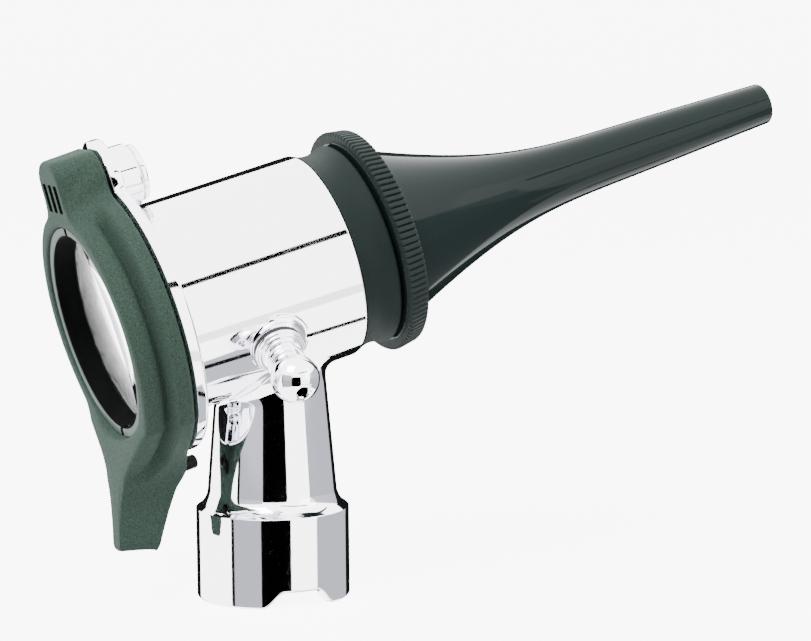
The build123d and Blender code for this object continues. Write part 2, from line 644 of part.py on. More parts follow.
def horn(root_wall, tip_wall):
    """Solid horn: a curved flare that runs into a straight taper, less a wall at each end."""
    flare_r = SPECULUM_TIP_R + TAPER_SLOPE * (SPECULUM_TIP - FLARE_END)
    root = (RIM_FRONT, SPECULUM_ROOT_R - root_wall)
    end = (FLARE_END, flare_r - tip_wall)
    with BuildLine() as outline:
        Bezier(root, (root[0] + FLARE_ROOT_PULL, root[1] - FLARE_SLOPE * FLARE_ROOT_PULL),
               (end[0] - FLARE_TIP_PULL, end[1] + TAPER_SLOPE * FLARE_TIP_PULL), end)
        Polyline(end, (SPECULUM_TIP, SPECULUM_TIP_R - tip_wall), (SPECULUM_TIP, 0),
                 (RIM_FRONT, 0), root)
    return revolve(Plane.XZ * make_face(outline.line), Axis.X)


def knurled_rim():
    """Short gear-like rim with straight teeth, tapered a little to the front."""
    points = []
    for tooth in range(RIM_TEETH):
        for part, radius in ((0.0, RIM_R - RIM_TOOTH_DEPTH), (0.25, RIM_R), (0.55, RIM_R),
                             (0.8, RIM_R - RIM_TOOTH_DEPTH)):
            turn = radians(360 * (tooth + part) / RIM_TEETH)
            points.append((radius * cos(turn), radius * sin(turn)))
    plan = make_face(Polyline(*points, close=True))
    rim = extrude(Plane.YZ.offset(SPECULUM_REAR) * plan, amount=RIM_WIDTH)
    taper = turned((SPECULUM_REAR, 0), (SPECULUM_REAR, RIM_R - 0.15),
                   (SPECULUM_REAR + 0.25, RIM_R), (RIM_FRONT - 0.3, RIM_R - RIM_TAPER),
                   (RIM_FRONT, RIM_R - RIM_TAPER - 0.3), (RIM_FRONT, 0))
    return rim & taper


def twist_slots():
    """L-shaped slots inside the rim: each lets a lug in, then past it as the speculum turns."""
    reach = SPIGOT_R + TWIST_LUG_REACH + 2 * SPECULUM_GAP
    play = 3.0
    start = TWIST_LUG_START - SPECULUM_GAP
    end = TWIST_LUG_START + TWIST_LUG_WIDTH + SPECULUM_GAP
    slots = []
    for turn in range(TWIST_LUGS):
        middle = turn * 360 / TWIST_LUGS
        slots.append(sector(SPECULUM_REAR - 0.1, end, SOCKET_BORE_R - 0.5, reach,
                            middle - TWIST_TRAVEL, TWIST_LUG_SPAN + 2 * play))
        slots.append(sector(start, end, SOCKET_BORE_R - 0.5, reach, middle - TWIST_TRAVEL / 2,
                            TWIST_LUG_SPAN + TWIST_TRAVEL + 2 * play))
    return slots


def speculum():
    """Glossy polypropylene speculum: knurled rim, flared horn and long thin tip."""
    shell = horn(0, 0)
    shell = fillet(shell.faces().sort_by(Axis.X)[-1].edges(), TIP_ROUND)
    body = shell + knurled_rim()
    body -= disc(SPECULUM_REAR - 1, RIM_FRONT, SOCKET_BORE_R)
    body -= horn(SPECULUM_WALL, SPECULUM_TIP_WALL) & disc(RIM_FRONT - 1, SPECULUM_TIP + 1,
                                                          SOCKET_BORE_R)
    for slot in twist_slots():
        body -= slot
    return on_barrel(body)


PIECES = [head_body, bayonet_ring, port_gasket, port_nozzle, pivot_screw, pivot_washer,
          pivot_insert, flange_gasket, lens_frame, lens, lens_gasket, lens_retainer, catch_pin,
          nose_adapter, speculum_seal, outer_cone, fiber_fan, viewing_cone, fiber_bundle,
          bundle_ferrule, lamp_sleeve, lamp_base, lamp_insulator, lamp_contact, lamp_bulb,
          lamp_cement, lamp_filament, speculum]

os.makedirs("parts", exist_ok=True)
for piece in PIECES:
    export_step(piece(), f"parts/{piece.__name__}.step")
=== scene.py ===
"""Looks for the otoscope head: surfaces, finishes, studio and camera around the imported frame.

Shapes are worked out in millimetres on the barrel's own axes and written in metres. "Along" is
the distance along the barrel's axis towards the tip, "above" the distance at right angles to it,
up, and "side" the distance along +Y.
"""
import json
from math import atan2, cos, pi, radians, sin, tan

import bmesh
import bpy
import numpy as np
from mathutils import Matrix, Vector


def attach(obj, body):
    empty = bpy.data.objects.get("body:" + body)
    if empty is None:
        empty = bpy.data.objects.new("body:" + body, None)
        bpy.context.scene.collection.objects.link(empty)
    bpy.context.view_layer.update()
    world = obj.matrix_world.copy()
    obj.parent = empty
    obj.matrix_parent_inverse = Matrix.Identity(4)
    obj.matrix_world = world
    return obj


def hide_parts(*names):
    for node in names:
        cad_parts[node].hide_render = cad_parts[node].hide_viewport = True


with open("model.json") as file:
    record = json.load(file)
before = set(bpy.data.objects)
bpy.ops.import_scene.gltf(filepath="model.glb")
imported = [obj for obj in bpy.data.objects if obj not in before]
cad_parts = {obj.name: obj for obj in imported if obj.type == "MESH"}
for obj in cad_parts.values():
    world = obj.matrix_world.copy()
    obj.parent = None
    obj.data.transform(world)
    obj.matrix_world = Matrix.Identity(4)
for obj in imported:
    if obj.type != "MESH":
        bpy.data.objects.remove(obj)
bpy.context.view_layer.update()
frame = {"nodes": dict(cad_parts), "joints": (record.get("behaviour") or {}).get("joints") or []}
MM = 0.001
NODES = frame["nodes"]
JOINTS = {joint["name"]: joint for joint in frame["joints"]}

# ---- Axes, read from the joints
BARREL_AXIS = np.array(JOINTS["speculum_twist"]["axis"], float)
ON_AXIS = np.array(JOINTS["speculum_twist"]["pos_m"], float) / MM
AXIS_CROSSING = ON_AXIS - BARREL_AXIS * ON_AXIS[0] / BARREL_AXIS[0]
BARREL_UP = np.array([-BARREL_AXIS[2], 0.0, BARREL_AXIS[0]])
SIDE = np.array([0.0, 1.0, 0.0])
PIVOT_ABOVE = float((np.array(JOINTS["lens_swing"]["pos_m"]) / MM - AXIS_CROSSING) @ BARREL_UP)
TILT = atan2(BARREL_AXIS[2], BARREL_AXIS[0])

# ---- Barrel, flange, neck and collar
BARREL_R = 12.7
BORE_R = 11.3
BARREL_FRONT = 6.84
FLANGE_R = 16.8
FLANGE_REAR = -17.5
FLANGE_FRONT = -16.0
LOBE_R = 5.2
LOBE_BLEND = 0.9
BOSS_R = 3.8
BOSS_FRONT = -13.3
SCREW_BORE_R = 1.6
SCREW_R = 1.45
SCREW_HEAD_R = 3.4
COLLAR_R = 9.34
COLLAR_TOP = 11.1
SOCKET_R = 8.15
SOCKET_LENGTH = 6.3
RING_SEAT_R = 7.95
SOCKET_DEPTH = 9.5
NECK_FOOT_R = 8.05
NECK_SLOPE = 0.0863         # radius lost for each millimetre of height
NECK_BORE_R = 6.0
NECK_BORE_TOP = 23.3
NOTCH_DEPTH = 1.95
NOTCH_HALF_FOOT = 4.7
NOTCH_HALF_ROOF = 2.1

# ---- Nose
NOSE_R = 12.58
NOSE_REAR = 1.04
NOSE_FACE = 11.5
NOSE_SHANK_R = 11.25
NOSE_SHANK_BORE_R = 9.85
NOSE_BORE_R = 8.0
SPIGOT_R = 9.5
SPIGOT_FRONT = 15.9

# ---- Port
PORT_DROP = 30.0            # degrees below level
PORT_ALONG = -3.55
PORT_ROOT = 11.4
PORT_NECK_R = 1.95
PORT_BORE_R = 0.7
PORT_BALL_R = 2.87
PORT_BALL_CENTRE = 19.1

# ---- Lens frame
FRAME_FRONT = -17.8
FRAME_REAR = -23.4
FRAME_BASE_R = 16.7
FRAME_REAR_R = 15.0
FRAME_BORE_R = 13.1
LEDGE_R = 11.3
LEDGE_REAR = -18.7
LENS_FRONT = -19.1
LENS_REAR = -20.3
RETAINER_R_IN = 12.0
RETAINER_REAR = -23.05
LUG_BASE = (4.7, 21.15, 3.0)        # half width, top and corner, base tier
LUG_REAR = (3.6, 21.05, 2.4)        # and rear tier
TAB_BASE = (11.6, 2.1, 27.35)       # half width at root and end, and the end, base tier
TAB_REAR = (9.4, 1.3, 26.1)         # and rear tier
TAB_START = 11.0            # below the axis, where the thumb tab begins to narrow
FACE_BEND_START = 17.6      # below it the front face leans back
REAR_BEND_START = 9.8       # below it the rear face hangs straight down
LUG_FOOT = 8.0              # above the axis, where the lug's slab begins inside the ring
TAB_CORNER = 0.8
PLAN_REACH = 33.0           # farther out than any point of the frame
CATCH_BELOW = 18.9
CATCH_R = 0.85
CATCH_ROOT = -20.0
CATCH_FRONT = -15.1

# ---- Bars on the lug
BAR_HALF_WIDTH = 0.55
BAR_HALF_HEIGHT = 1.7
BAR_CORNER = 0.2
BAR_PITCH = 2.0
BAR_ABOVE = 16.7
BAR_FLOOR = FRAME_REAR + 0.1
BAR_FACE = FRAME_REAR - 0.02

# ---- Studio
TENT_MIDDLE = (0.0, 0.0, 0.035)     # metres, as are the floor's and the flags' distances
TENT_LIGHT = 1.3            # brightness of the cloth where it lights dull surfaces
TENT_MIRRORED = 7.0         # in mirror-bright surfaces
TENT_SEEN = 5.0             # behind the object
FLOOR_HALF = 9.0
FLOOR_GLOW = 7.0
FLAG_DISTANCE = 0.8
KEY_WATTS = 9.0
FILL_WATTS = 2.0
CAMERA_PLACE = (-122.683, -313.936, 77.038)     # millimetres, and its angles in degrees
CAMERA_AZIMUTH = -24.14
CAMERA_ELEVATION = 7.36
CAMERA_ROLL = -0.459
CAMERA_LENS = 124.3

# ---- Speculum
SPECULUM_REAR = 12.16
RIM_FRONT = 14.67
RIM_R = 13.98
RIM_TEETH = 112
SPECULUM_TIP = 71.5
SPECULUM_TIP_R = 2.68
HORN_ROOT_R = 11.14
SOCKET_BORE_R = 9.65
DISC_R = 12.8
TAPER_START = 53.7
TAPER = 0.038               # radius lost for each millimetre towards the tip


# ---- Places

def on_barrel(along, above, side):
    """Points in the world, in mm, from places on the barrel's axes."""
    return (AXIS_CROSSING + along[..., None] * BARREL_AXIS + above[..., None] * BARREL_UP
            + side[..., None] * SIDE)


def round_barrel(rows, turn):
    """Grid round the barrel's axis from (along, radius) rows that may vary with direction."""
    return np.stack([on_barrel(along + 0 * turn, radius * np.cos(turn), radius * np.sin(turn))
                     for along, radius in rows], 1)


def axes_for(direction, up):
    """Two unit vectors square to a direction, the first nearest to up."""
    direction = np.asarray(direction, float)
    direction = direction / np.linalg.norm(direction)
    first = np.asarray(up, float) - direction * (np.asarray(up, float) @ direction)
    first = first / np.linalg.norm(first)
    return direction, first, np.cross(direction, first)


BARREL_LINE = (AXIS_CROSSING, BARREL_AXIS, BARREL_UP)
PIVOT_LINE = (AXIS_CROSSING + PIVOT_ABOVE * BARREL_UP, BARREL_AXIS, BARREL_UP)
PORT_OUT = np.array([0.0, -cos(radians(PORT_DROP)), -sin(radians(PORT_DROP))])
PORT_LINE = (AXIS_CROSSING + PORT_ALONG * BARREL_AXIS, PORT_OUT, np.array([1.0, 0.0, 0.0]))


# ---- Surfaces

def smooth_step(low, high, value):
    """0 below low, 1 above high, and a smooth S between."""
    t = np.clip((value - low) / (high - low), 0.0, 1.0)
    return t * t * (3 - 2 * t)


def smooth_union(a, b, blend):
    """Polynomial smooth minimum of two distance fields."""
    mix = np.clip(0.5 + 0.5 * (b - a) / blend, 0, 1)
    return b * (1 - mix) + a * mix - blend * mix * (1 - mix)


def rounded(corners, steps=7):
    """Closed outline from (along, radius, rounding) corners, each corner cut by a tangent arc.

    The arc between the two runs is sampled evenly in angle.
    """
    points = []
    count = len(corners)
    for k in range(count):
        here = np.array(corners[k][:2], float)
        before = np.array(corners[k - 1][:2], float) - here
        after = np.array(corners[(k + 1) % count][:2], float) - here
        size = corners[k][2]
        if size == 0:
            points.append(here)
            continue
        a = before / np.linalg.norm(before)
        b = after / np.linalg.norm(after)
        half = np.arccos(np.clip(a @ b, -1, 1)) / 2
        reach = min(size / np.tan(half), 0.49 * np.linalg.norm(before),
                    0.49 * np.linalg.norm(after))
        size = reach * np.tan(half)
        middle = here + (a + b) / np.linalg.norm(a + b) * size / np.sin(half)
        start = here + a * reach - middle
        end = here + b * reach - middle
        turn = np.arccos(np.clip(start @ end / size ** 2, -1, 1))
        for t in np.linspace(0, 1, steps):
            points.append(middle + (np.sin((1 - t) * turn) * start + np.sin(t * turn) * end)
                          / np.sin(turn))
    return np.array(points + [points[0]])


def skin(name, grid, sharp=32.0):
    """Mesh object from a grid of points in mm: quads between neighbours, seams merged.

    Faces are turned outwards once the seams and poles are closed.
    """
    rows, columns = grid.shape[:2]
    number = np.arange(rows * columns).reshape(rows, columns)
    quads = np.stack([number[:-1, :-1], number[1:, :-1], number[1:, 1:], number[:-1, 1:]], -1)
    mesh = bpy.data.meshes.new(name)
    mesh.from_pydata((grid.reshape(-1, 3) * MM).tolist(), [], quads.reshape(-1, 4).tolist())
    work = bmesh.new()
    work.from_mesh(mesh)
    bmesh.ops.remove_doubles(work, verts=work.verts, dist=2e-7)
    bmesh.ops.recalc_face_normals(work, faces=work.faces)
    work.to_mesh(mesh)
    work.free()
    mesh.shade_smooth()
    mesh.set_sharp_from_angle(angle=radians(sharp))
    piece = bpy.data.objects.new(name, mesh)
    bpy.context.scene.collection.objects.link(piece)
    return piece


def lathe(name, outline, line, steps=192, sharp=32.0):
    """Solid of revolution: the outline's radius turned about a line through a full circle."""
    origin, direction, up = line
    direction, first, second = axes_for(direction, up)
    turn = np.linspace(0, 2 * pi, steps + 1)[:, None, None]
    along = outline[None, :, 0:1]
    radius = outline[None, :, 1:2]
    grid = origin + along * direction + radius * (np.cos(turn) * first + np.sin(turn) * second)
    return skin(name, grid, sharp)


def finish(piece, body, material):
    """Give a piece its material and the body it moves with."""
    piece.data.materials.clear()
    piece.data.materials.append(material)
    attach(piece, body)
    return piece


# ---- Finishes

def linear(code):
    """Linear colour from an sRGB hex value."""
    parts = [int(code[k:k + 2], 16) / 255 for k in (1, 3, 5)]
    return [c / 12.92 if c <= 0.04045 else ((c + 0.055) / 1.055) ** 2.4 for c in parts] + [1.0]


def node(tree, kind, links=(), **settings):
    """Add a node; settings go to its properties or sockets, links are (source, socket)."""
    made = tree.nodes.new(kind)
    for key, value in settings.items():
        if hasattr(made, key) and key not in ("Scale",):
            setattr(made, key, value)
        else:
            made.inputs[key.replace("_", " ")].default_value = value
    for source, socket in links:
        tree.links.new(source, made.inputs[socket])
    return made


def blank(name, code, roughness, metallic=0.0, **sockets):
    """New material with its shader set up, and the texture coordinates that it reads."""
    material = bpy.data.materials.new(name)
    material.use_nodes = True
    tree = material.node_tree
    shader = tree.nodes["Principled BSDF"]
    shader.inputs["Base Color"].default_value = linear(code)
    shader.inputs["Roughness"].default_value = roughness
    shader.inputs["Metallic"].default_value = metallic
    for key, value in sockets.items():
        shader.inputs[key.replace("_", " ")].default_value = value
    place = node(tree, "ShaderNodeTexCoord").outputs["Object"]
    return material, tree, shader, place


def grained(material_parts, grain_mm, height_mm, strength, detail=2.0):
    """Bump of fine random grain, noise one grain wide and height_mm deep; gives the noise."""
    _, tree, shader, place = material_parts
    noise = node(tree, "ShaderNodeTexNoise", [(place, "Vector")], Scale=1 / (grain_mm * MM),
                 Detail=detail, Roughness=0.6)
    bump = node(tree, "ShaderNodeBump", [(noise.outputs["Fac"], "Height")], Strength=strength,
                Distance=height_mm * MM)
    tree.links.new(bump.outputs["Normal"], shader.inputs["Normal"])
    return noise.outputs["Fac"]


def two_tone(material_parts, pattern, first, last):
    """Base colour that runs between two (position, colour) ends along a pattern's value."""
    _, tree, shader, _ = material_parts
    ramp = node(tree, "ShaderNodeValToRGB", [(pattern, "Fac")])
    for element, (position, code) in zip(ramp.color_ramp.elements, (first, last)):
        element.position = position
        element.color = linear(code)
    tree.links.new(ramp.outputs["Color"], shader.inputs["Base Color"])


def mottled(material_parts, dark, light, patch_mm):
    """Base colour that drifts between two tones over patches of a given size."""
    _, tree, _, place = material_parts
    noise = node(tree, "ShaderNodeTexNoise", [(place, "Vector")], Scale=1 / (patch_mm * MM),
                 Detail=3.0, Roughness=0.55)
    two_tone(material_parts, noise.outputs["Fac"], (0.35, dark), (0.65, light))


def rough_patches(material_parts, low, high, patch_mm):
    """Roughness that varies a little from patch to patch, as handling leaves it."""
    _, tree, shader, place = material_parts
    noise = node(tree, "ShaderNodeTexNoise", [(place, "Vector")], Scale=1 / (patch_mm * MM),
                 Detail=4.0, Roughness=0.6)
    span = node(tree, "ShaderNodeMapRange", [(noise.outputs["Fac"], "Value")],
                From_Min=0.3, From_Max=0.7, To_Min=low, To_Max=high)
    tree.links.new(span.outputs["Result"], shader.inputs["Roughness"])


def plated_chrome():
    """Bright chromium over polished brass: near mirror, with the faint haze of buffing."""
    parts = blank("plated_chrome", "#E9E9EE", 0.05, 1.0)
    rough_patches(parts, 0.03, 0.075, 3.0)
    return parts[0]


def sand_textured_abs():
    """Moulded ABS from a sand-blasted tool: matt, grained in two greens about 0.16 mm wide."""
    parts = blank("sand_textured_abs", "#303F38", 0.65, Specular_IOR_Level=0.05)
    grain = grained(parts, 0.16, 0.05, 0.55, 3.0)
    two_tone(parts, grain, (0.30, "#25332C"), (0.72, "#43544B"))
    return parts[0]


def painted_recess_shade():
    """Painted shade of the lug's moulded bars: the darkest, flattest finish here."""
    parts = blank("painted_recess_shade", "#080B0A", 0.75, Specular_IOR_Level=0.0)
    grained(parts, 0.1, 0.01, 0.2)
    return parts[0]


def retainer_painted_light():
    """Painted light: the black retainer's lit rear face drawn grey-green, with a soft sheen."""
    parts = blank("retainer_painted_light", "#4A5852", 0.4, Specular_IOR_Level=0.12)
    grained(parts, 0.4, 0.008, 0.3)
    return parts[0]


def matt_nylon():
    """Moulded nylon of the nose: dark green-black with a fine, even mould texture."""
    parts = blank("matt_nylon", "#1B2321", 0.6, Specular_IOR_Level=0.05)
    grained(parts, 0.12, 0.02, 0.35)
    return parts[0]


def glossy_polypropylene():
    """Moulded polypropylene of the speculum: near black, polished tool, soft long waves."""
    parts = blank("glossy_polypropylene", "#1D2726", 0.07, IOR=1.49, Specular_IOR_Level=0.05)
    rough_patches(parts, 0.05, 0.1, 4.0)
    grained(parts, 2.5, 0.004, 0.2)
    return parts[0]


def knurled_polypropylene():
    """The speculum's rim: the same plastic with a duller, slightly worn surface."""
    parts = blank("knurled_polypropylene", "#29312F", 0.45, IOR=1.49, Specular_IOR_Level=0.03)
    grained(parts, 0.15, 0.015, 0.3)
    return parts[0]


def optical_glass():
    """Polished crown glass, clear, with a faint coating haze in its roughness."""
    parts = blank("optical_glass", "#FFFFFF", 0.0, Transmission_Weight=1.0, IOR=1.52)
    rough_patches(parts, 0.0, 0.02, 6.0)
    return parts[0]


def bulb_glass():
    """Drawn quartz of the halogen bulb, with slight waviness."""
    parts = blank("bulb_glass", "#FFFFFF", 0.0, Transmission_Weight=1.0, IOR=1.46)
    grained(parts, 1.5, 0.01, 0.2)
    return parts[0]


def black_anodised():
    """Black anodised aluminium: matt and nearly without shine, with a fine etched grain."""
    parts = blank("black_anodised", "#060707", 0.6, Specular_IOR_Level=0.03)
    grained(parts, 0.1, 0.01, 0.3)
    return parts[0]


def black_moulding():
    """Matt black moulding of the cones, dull so that it throws no light back."""
    parts = blank("black_moulding", "#0B0B0C", 0.7, Specular_IOR_Level=0.1)
    grained(parts, 0.15, 0.02, 0.4)
    return parts[0]


def turned_brass():
    """Turned brass, lightly tarnished in patches about 2 mm wide."""
    parts = blank("turned_brass", "#B9924A", 0.3, 1.0)
    mottled(parts, "#A27C3A", "#C9A45C", 2.0)
    grained(parts, 0.12, 0.01, 0.35)
    return parts[0]


def bright_steel():
    """Cold-rolled stainless steel with a fine grain."""
    parts = blank("bright_steel", "#B8BABD", 0.25, 1.0)
    rough_patches(parts, 0.18, 0.34, 1.0)
    grained(parts, 0.1, 0.008, 0.3)
    return parts[0]


def blackened_steel():
    """Oil-blackened steel pin with a soft shine."""
    parts = blank("blackened_steel", "#070707", 0.3, Specular_IOR_Level=0.05)
    rough_patches(parts, 0.22, 0.4, 0.6)
    return parts[0]


def nitrile_rubber():
    """Moulded nitrile rubber, matt with a bloom of lighter patches."""
    parts = blank("nitrile_rubber", "#151515", 0.75)
    mottled(parts, "#101010", "#1E1E1F", 1.2)
    grained(parts, 0.1, 0.01, 0.3)
    return parts[0]


def glass_fibres():
    """Cut and polished fibre ends, each about 0.05 mm, drawn 0.12 mm wide so that they show."""
    parts = blank("glass_fibres", "#C9D2D6", 0.25)
    material, tree, _, place = parts
    cells = node(tree, "ShaderNodeTexVoronoi", [(place, "Vector")], Scale=1 / (0.12 * MM))
    two_tone(parts, cells.outputs["Distance"], (0.35, "#DDE4E6"), (0.6, "#4A5154"))
    return material


def fired_ceramic():
    """Unglazed white ceramic with pores of about 0.2 mm."""
    parts = blank("fired_ceramic", "#DDD6C6", 0.8)
    mottled(parts, "#CFC6B2", "#E6E0D2", 0.8)
    grained(parts, 0.2, 0.03, 0.5)
    return parts[0]


def drawn_tungsten():
    """Drawn tungsten wire, grey, with a very fine grain."""
    parts = blank("drawn_tungsten", "#6A6B6D", 0.35, 1.0)
    grained(parts, 0.05, 0.005, 0.3)
    return parts[0]


CHROME = plated_chrome()
GREEN = sand_textured_abs()
NYLON = matt_nylon()
RECESS_SHADE = painted_recess_shade()
RETAINER_PAINTED_LIGHT = retainer_painted_light()
GLOSS = glossy_polypropylene()
KNURL = knurled_polypropylene()
GLASS = optical_glass()
BULB_GLASS = bulb_glass()
ANODISED = black_anodised()
BLACK = black_moulding()
BRASS = turned_brass()
STEEL = bright_steel()
DARK_STEEL = blackened_steel()
RUBBER = nitrile_rubber()
FIBRE = glass_fibres()
CERAMIC = fired_ceramic()
TUNGSTEN = drawn_tungsten()


# ---- Chromed head

def barrel_shell():
    """Barrel tube with a rolled front lip, from the flange to the nose."""
    outline = rounded([(FLANGE_FRONT - 0.6, BARREL_R, 0), (BARREL_FRONT, BARREL_R, 0.35),
                       (BARREL_FRONT, BORE_R, 0.2), (FLANGE_FRONT - 0.6, BORE_R, 0)])
    return lathe("barrel_shell", outline, BARREL_LINE, 256)


def flange_reach(turn):
    """Distance from the barrel's axis to the flange's edge: disc and lobe, softly joined.

    For each direction it halves the step on the smooth union of two circles' distances.
    """
    low = np.full_like(turn, FLANGE_R - 1)
    high = np.full_like(turn, PIVOT_ABOVE + LOBE_R + 1)
    for _ in range(30):
        middle = (low + high) / 2
        above = middle * np.cos(turn)
        side = middle * np.sin(turn)
        disc = middle - FLANGE_R
        lobe = np.hypot(side, above - PIVOT_ABOVE) - LOBE_R
        outside = smooth_union(disc, lobe, LOBE_BLEND) > 0
        high = np.where(outside, middle, high)
        low = np.where(outside, low, middle)
    return (low + high) / 2


def flange_plate():
    """Rear flange: its edge follows flange_reach, rolled at the front and filleted inwards."""
    fillet = 0.9
    bend = np.linspace(0, pi / 2, 8)
    edge = [(FLANGE_REAR, 0.15), (FLANGE_REAR + 0.1, 0.0), (FLANGE_FRONT - 0.45, 0.0)]
    edge += [(FLANGE_FRONT - 0.45 + 0.45 * sin(t), 0.45 * (1 - cos(t))) for t in bend[1:]]
    root = [(FLANGE_FRONT + fillet * (1 - cos(t)), BARREL_R + fillet * (1 - sin(t)))
            for t in bend]
    inside = [(FLANGE_FRONT + fillet, BORE_R), (FLANGE_REAR, BORE_R)]
    turn = np.linspace(0, 2 * pi, 361)
    reach = flange_reach(turn)
    columns = [(along, reach - inset) for along, inset in edge]
    columns += root + inside
    columns.append(columns[0])
    return skin("flange_plate", round_barrel(columns, turn), 40)


def pivot_boss():
    """Short round boss on the flange's lobe, with a small step at its front."""
    outline = rounded([(FLANGE_FRONT - 0.3, SCREW_BORE_R, 0), (FLANGE_FRONT - 0.3, BOSS_R, 0),
                       (BOSS_FRONT - 0.25, BOSS_R, 0.12), (BOSS_FRONT - 0.2, BOSS_R - 0.25, 0),
                       (BOSS_FRONT, BOSS_R - 0.3, 0.1), (BOSS_FRONT, SCREW_BORE_R, 0)])
    return lathe("pivot_boss", outline, PIVOT_LINE, 96)


def barrel_underside(x, y):
    """Height of the barrel's lower surface over a point of the ground plan."""
    return (AXIS_CROSSING[2] - np.sqrt(np.maximum(BARREL_R ** 2 - y ** 2, 0)) / cos(TILT)
            + x * np.tan(TILT))


def turned(rows, turn):
    """Grid round the vertical axis from (radius, height) rows that may vary with direction."""
    return np.stack([np.stack([radius * np.cos(turn), radius * np.sin(turn),
                               height + 0 * turn], -1) for radius, height in rows], 1)


def neck_shell():
    """Conical neck that runs out on to the barrel.

    Up the cone the radius falls evenly with height. Near the barrel each line leaves the cone
    on a quadratic curve whose handle is where cone and barrel would meet, and it lands on the
    barrel's surface a little further out, tangent to it.
    """
    turn = np.linspace(0, 2 * pi, 257)
    meet_r = np.full_like(turn, NECK_FOOT_R - 1.4)
    for _ in range(20):
        height = barrel_underside(meet_r * np.cos(turn), meet_r * np.sin(turn))
        meet_r = NECK_FOOT_R - NECK_SLOPE * (height - COLLAR_TOP)
    blend = 1.0 + 2.2 * np.sin(turn) ** 2
    low_z = height - blend
    low_r = NECK_FOOT_R - NECK_SLOPE * (low_z - COLLAR_TOP)
    far_r = meet_r + blend
    far_z = barrel_underside(far_r * np.cos(turn), far_r * np.sin(turn)) + 0.01
    rows = []
    for t in np.linspace(0, 1, 24):
        z = COLLAR_TOP + (low_z - COLLAR_TOP) * t
        rows.append((NECK_FOOT_R - NECK_SLOPE * (z - COLLAR_TOP), z))
    for t in np.linspace(0, 1, 20)[1:]:
        rows.append(((1 - t) ** 2 * low_r + 2 * t * (1 - t) * meet_r + t * t * far_r,
                     (1 - t) ** 2 * low_z + 2 * t * (1 - t) * height + t * t * far_z))
    waist = NECK_BORE_R - 0.8
    rows += [(far_r - 0.8, far_z + 0.9), (waist, height + 1.0), (waist, NECK_BORE_TOP),
             (NECK_BORE_R, NECK_BORE_TOP), (NECK_BORE_R, COLLAR_TOP), rows[0]]
    return skin("neck_shell", turned(rows, turn), 50)


def notch_height(turn):
    """Height of the collar's lower edge: two shallow flat-roofed arches, port side and far."""
    across = COLLAR_R * np.cos(turn)
    return NOTCH_DEPTH * (smooth_step(-NOTCH_HALF_FOOT, -NOTCH_HALF_ROOF, across)
                          - smooth_step(NOTCH_HALF_ROOF, NOTCH_HALF_FOOT, across))


def collar_shell():
    """Collar: thin wall with notched foot, rolled shoulder and a hollow sweep into the neck."""
    turn = np.linspace(0, 2 * pi, 513)
    foot = notch_height(turn)
    bend = np.linspace(0, pi / 2, 8)
    sweep = np.linspace(0.41, pi / 2, 12)
    rows = [(SOCKET_R, SOCKET_LENGTH), (SOCKET_R, foot + 0.25)]
    rows += [(SOCKET_R + 0.2 * (1 - cos(t)), foot + 0.2 * (1 - sin(t))) for t in bend]
    rows += [(COLLAR_R - 0.28 * (1 - sin(t)), foot + 0.28 * (1 - cos(t))) for t in bend]
    rows += [(COLLAR_R, foot + 0.5 + (COLLAR_TOP - 1.2 - foot) * t)
             for t in np.linspace(0, 1, 8)]
    rows += [(COLLAR_R - 0.16 * (1 - cos(t)), COLLAR_TOP - 0.26 + 0.16 * sin(t))
             for t in bend[:6]]
    rows += [(NECK_FOOT_R - 0.2 + 2.1 * (1 - sin(t)), COLLAR_TOP + 2.6 * (cos(0.41) - cos(t)))
             for t in sweep]
    rows += [(NECK_BORE_R, COLLAR_TOP + 2.3), (NECK_BORE_R, SOCKET_DEPTH),
             (RING_SEAT_R, SOCKET_DEPTH), (RING_SEAT_R, SOCKET_LENGTH),
             (SOCKET_R, SOCKET_LENGTH)]
    return skin("collar_shell", turned(rows, turn), 40)


def port_seat():
    """Low round seat on the barrel, blended out at its foot, that the port screws into."""
    bend = np.linspace(0, pi / 2, 7)
    outline = [(9.0, 0.0), (11.9, 4.2)]
    outline += [(12.75 - 0.5 * cos(t), 3.4 + 0.75 * (1 - sin(t))) for t in bend]
    outline += [(13.2, 3.4), (13.3, 3.3), (13.3, 0.0)]
    return lathe("port_seat", np.array(outline), PORT_LINE, 96)


def port_nipple():
    """Turned nipple: stepped flange rings, neck, bead and the ball with its small bore."""
    rings = [(PORT_ROOT, 1.8, 0), (13.6, 1.8, 0), (13.6, 3.0, 0.08), (14.05, 3.0, 0.12),
             (14.05, 2.72, 0.05), (14.4, 2.72, 0.12), (14.4, 2.35, 0.05), (14.8, 2.35, 0.15),
             (14.95, 1.9, 0.1), (15.7, 1.9, 0.1), (15.75, 2.3, 0.1), (16.25, 2.3, 0.12),
             (16.35, PORT_NECK_R, 0.05)]
    start = rounded(rings + [(12, PORT_BORE_R, 0)])[:-2]
    first = np.arcsin(PORT_NECK_R / PORT_BALL_R)
    last = np.arcsin(1.0 / PORT_BALL_R)
    sweep = np.linspace(first, pi - last, 40)
    ball = np.stack([PORT_BALL_CENTRE - PORT_BALL_R * np.cos(sweep),
                     PORT_BALL_R * np.sin(sweep)], 1)
    tip = ball[-1, 0]
    mouth = [(tip + 0.02, 0.85), (tip - 0.12, PORT_BORE_R), (PORT_ROOT, PORT_BORE_R),
             (PORT_ROOT, 1.8)]
    return lathe("port_nipple", np.concatenate([start, ball, np.array(mouth)]), PORT_LINE, 128)


